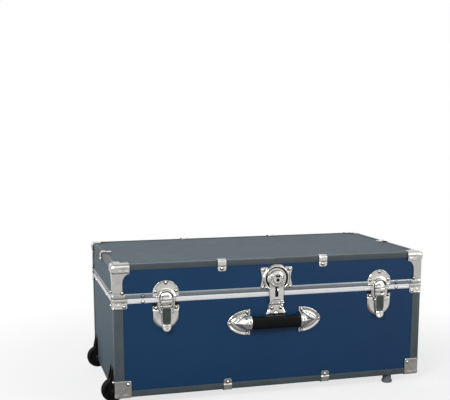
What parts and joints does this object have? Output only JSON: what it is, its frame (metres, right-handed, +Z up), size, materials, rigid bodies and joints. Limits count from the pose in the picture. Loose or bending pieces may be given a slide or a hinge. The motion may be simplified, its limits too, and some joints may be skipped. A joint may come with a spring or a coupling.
{
  "type": "wheeled footlocker",
  "caption": "Board trunk on wheels with a hinged lid, two draw bolts, a hasp lock, carrying handles and metal corner caps.",
  "frame": {"origin": "on the ground, under the middle of the whole footlocker's box, handles, wheels and hinges included", "axes": "+X along the length towards the end with the tow handle, the wheels being at -X; +Y towards the hinges, the lock facing -Y; +Z up"},
  "size_m": [0.8066, 0.4294, 0.331],
  "materials": {
    "blue_vinyl": "board under embossed blue vinyl film, satin",
    "grey_vinyl": "board under embossed slate grey vinyl film, satin",
    "lining_paper": "printed grey lining paper, matt",
    "edge_binding": "pressed angle, grey-green enamel, satin",
    "aluminium": "rolled channel, bright",
    "nickel": "nickel-plated pressed steel, polished",
    "steel": "zinc-plated steel",
    "black_plastic": "moulded, satin",
    "black_rubber": "moulded tread, matt",
    "grey_plastic": "moulded, matt"
  },
  "bodies": {
    "root": {"body_front_panel": "blue_vinyl", "body_rear_panel": "blue_vinyl", "body_left_panel": "grey_vinyl", "body_right_panel": "grey_vinyl", "body_bottom_panel": "grey_vinyl", "body_lining": "lining_paper", "body_edge_binding": "edge_binding", "body_rim": "aluminium", "body_rim_corner_front_left": "nickel", "bottom_corner_cap_front_left": "nickel", "body_rim_corner_front_right": "nickel", "bottom_corner_cap_front_right": "nickel", "body_rim_corner_rear_left": "nickel", "bottom_corner_cap_rear_left": "nickel", "body_rim_corner_rear_right": "nickel", "bottom_corner_cap_rear_right": "nickel", "left_draw_bolt_base": "nickel", "left_hinge_body_leaf": "steel", "right_draw_bolt_base": "nickel", "right_hinge_body_leaf": "steel", "hasp_hinge_plate": "nickel", "front_handle_left_cap": "nickel", "front_handle_right_cap": "nickel", "end_handle_front_cap": "nickel", "end_handle_rear_cap": "nickel", "front_wheel_well": "black_plastic", "rear_wheel_well": "black_plastic", "front_wheel_axle": "steel", "rear_wheel_axle": "steel", "front_foot": "grey_plastic", "rear_foot": "grey_plastic"},
    "lid": {"lid_front_panel": "blue_vinyl", "lid_rear_panel": "blue_vinyl", "lid_left_panel": "grey_vinyl", "lid_right_panel": "grey_vinyl", "lid_top_panel": "grey_vinyl", "lid_lining": "lining_paper", "lid_edge_binding": "edge_binding", "lid_rim": "aluminium", "lid_corner_cap_front_left": "nickel", "lid_corner_cap_front_right": "nickel", "lid_corner_cap_rear_left": "nickel", "lid_corner_cap_rear_right": "nickel", "left_draw_bolt_keeper": "nickel", "right_draw_bolt_keeper": "nickel", "lock_plate": "nickel", "left_hinge_lid_leaf": "steel", "right_hinge_lid_leaf": "steel"},
    "left_lever": {"left_draw_bolt_lever": "nickel"},
    "left_pin": {"left_draw_bolt_pin": "steel"},
    "left_bail": {"left_draw_bolt_bail": "nickel"},
    "right_lever": {"right_draw_bolt_lever": "nickel"},
    "right_pin": {"right_draw_bolt_pin": "steel"},
    "right_bail": {"right_draw_bolt_bail": "nickel"},
    "hasp": {"hasp": "nickel"},
    "lock_plug": {"lock_plug": "steel"},
    "front_grip": {"front_handle_grip": "black_plastic"},
    "end_grip": {"end_handle_grip": "black_plastic"},
    "front_wheel": {"front_wheel": "black_rubber"},
    "rear_wheel": {"rear_wheel": "black_rubber"}
  },
  "joints": [
    {"name": "lid_hinge", "type": "hinge", "parent": "root", "child": "lid", "pos_m": [0.00275, 0.2105, 0.251], "axis": [-1, 0, 0], "range_deg": [0, 100]},
    {"name": "left_lever_swing", "type": "hinge", "parent": "root", "child": "left_lever", "pos_m": [-0.25725, -0.2002, 0.231], "axis": [-1, 0, 0], "range_deg": [0, 120]},
    {"name": "left_pin_turn", "type": "hinge", "parent": "left_lever", "child": "left_pin", "pos_m": [-0.25725, -0.1997, 0.218], "axis": [1, 0, 0], "range_deg": [0, 120]},
    {"name": "left_bail_swing", "type": "hinge", "parent": "left_pin", "child": "left_bail", "pos_m": [-0.25725, -0.1997, 0.218], "axis": [1, 0, 0], "range_deg": [0, 180]},
    {"name": "right_lever_swing", "type": "hinge", "parent": "root", "child": "right_lever", "pos_m": [0.26975, -0.2002, 0.231], "axis": [-1, 0, 0], "range_deg": [0, 120]},
    {"name": "right_pin_turn", "type": "hinge", "parent": "right_lever", "child": "right_pin", "pos_m": [0.26975, -0.1997, 0.218], "axis": [1, 0, 0], "range_deg": [0, 120]},
    {"name": "right_bail_swing", "type": "hinge", "parent": "right_pin", "child": "right_bail", "pos_m": [0.26975, -0.1997, 0.218], "axis": [1, 0, 0], "range_deg": [0, 180]},
    {"name": "hasp_swing", "type": "hinge", "parent": "root", "child": "hasp", "pos_m": [0.00625, -0.1967, 0.223], "axis": [1, 0, 0], "range_deg": [0, 140]},
    {"name": "lock_plug_turn", "type": "hinge", "parent": "hasp", "child": "lock_plug", "pos_m": [0.00625, -0.1927, 0.2815], "axis": [0, -1, 0], "range_deg": [0, 90]},
    {"name": "front_grip_pull", "type": "slide", "parent": "root", "child": "front_grip", "axis": [0, 1, 0], "range_m": [-0.005, 0]},
    {"name": "end_grip_pull", "type": "slide", "parent": "root", "child": "end_grip", "axis": [-1, 0, 0], "range_m": [-0.005, 0]},
    {"name": "front_wheel_spin", "type": "hinge", "parent": "root", "child": "front_wheel", "pos_m": [-0.37525, -0.1442, 0.028], "axis": [0, 1, 0], "continuous": true},
    {"name": "rear_wheel_spin", "type": "hinge", "parent": "root", "child": "rear_wheel", "pos_m": [-0.37525, 0.1558, 0.028], "axis": [0, 1, 0], "continuous": true}
  ],
  "couplings": [
    {"joint": "left_pin_turn", "follows": "left_lever_swing", "ratio": 1},
    {"joint": "right_pin_turn", "follows": "right_lever_swing", "ratio": 1}
  ]
}
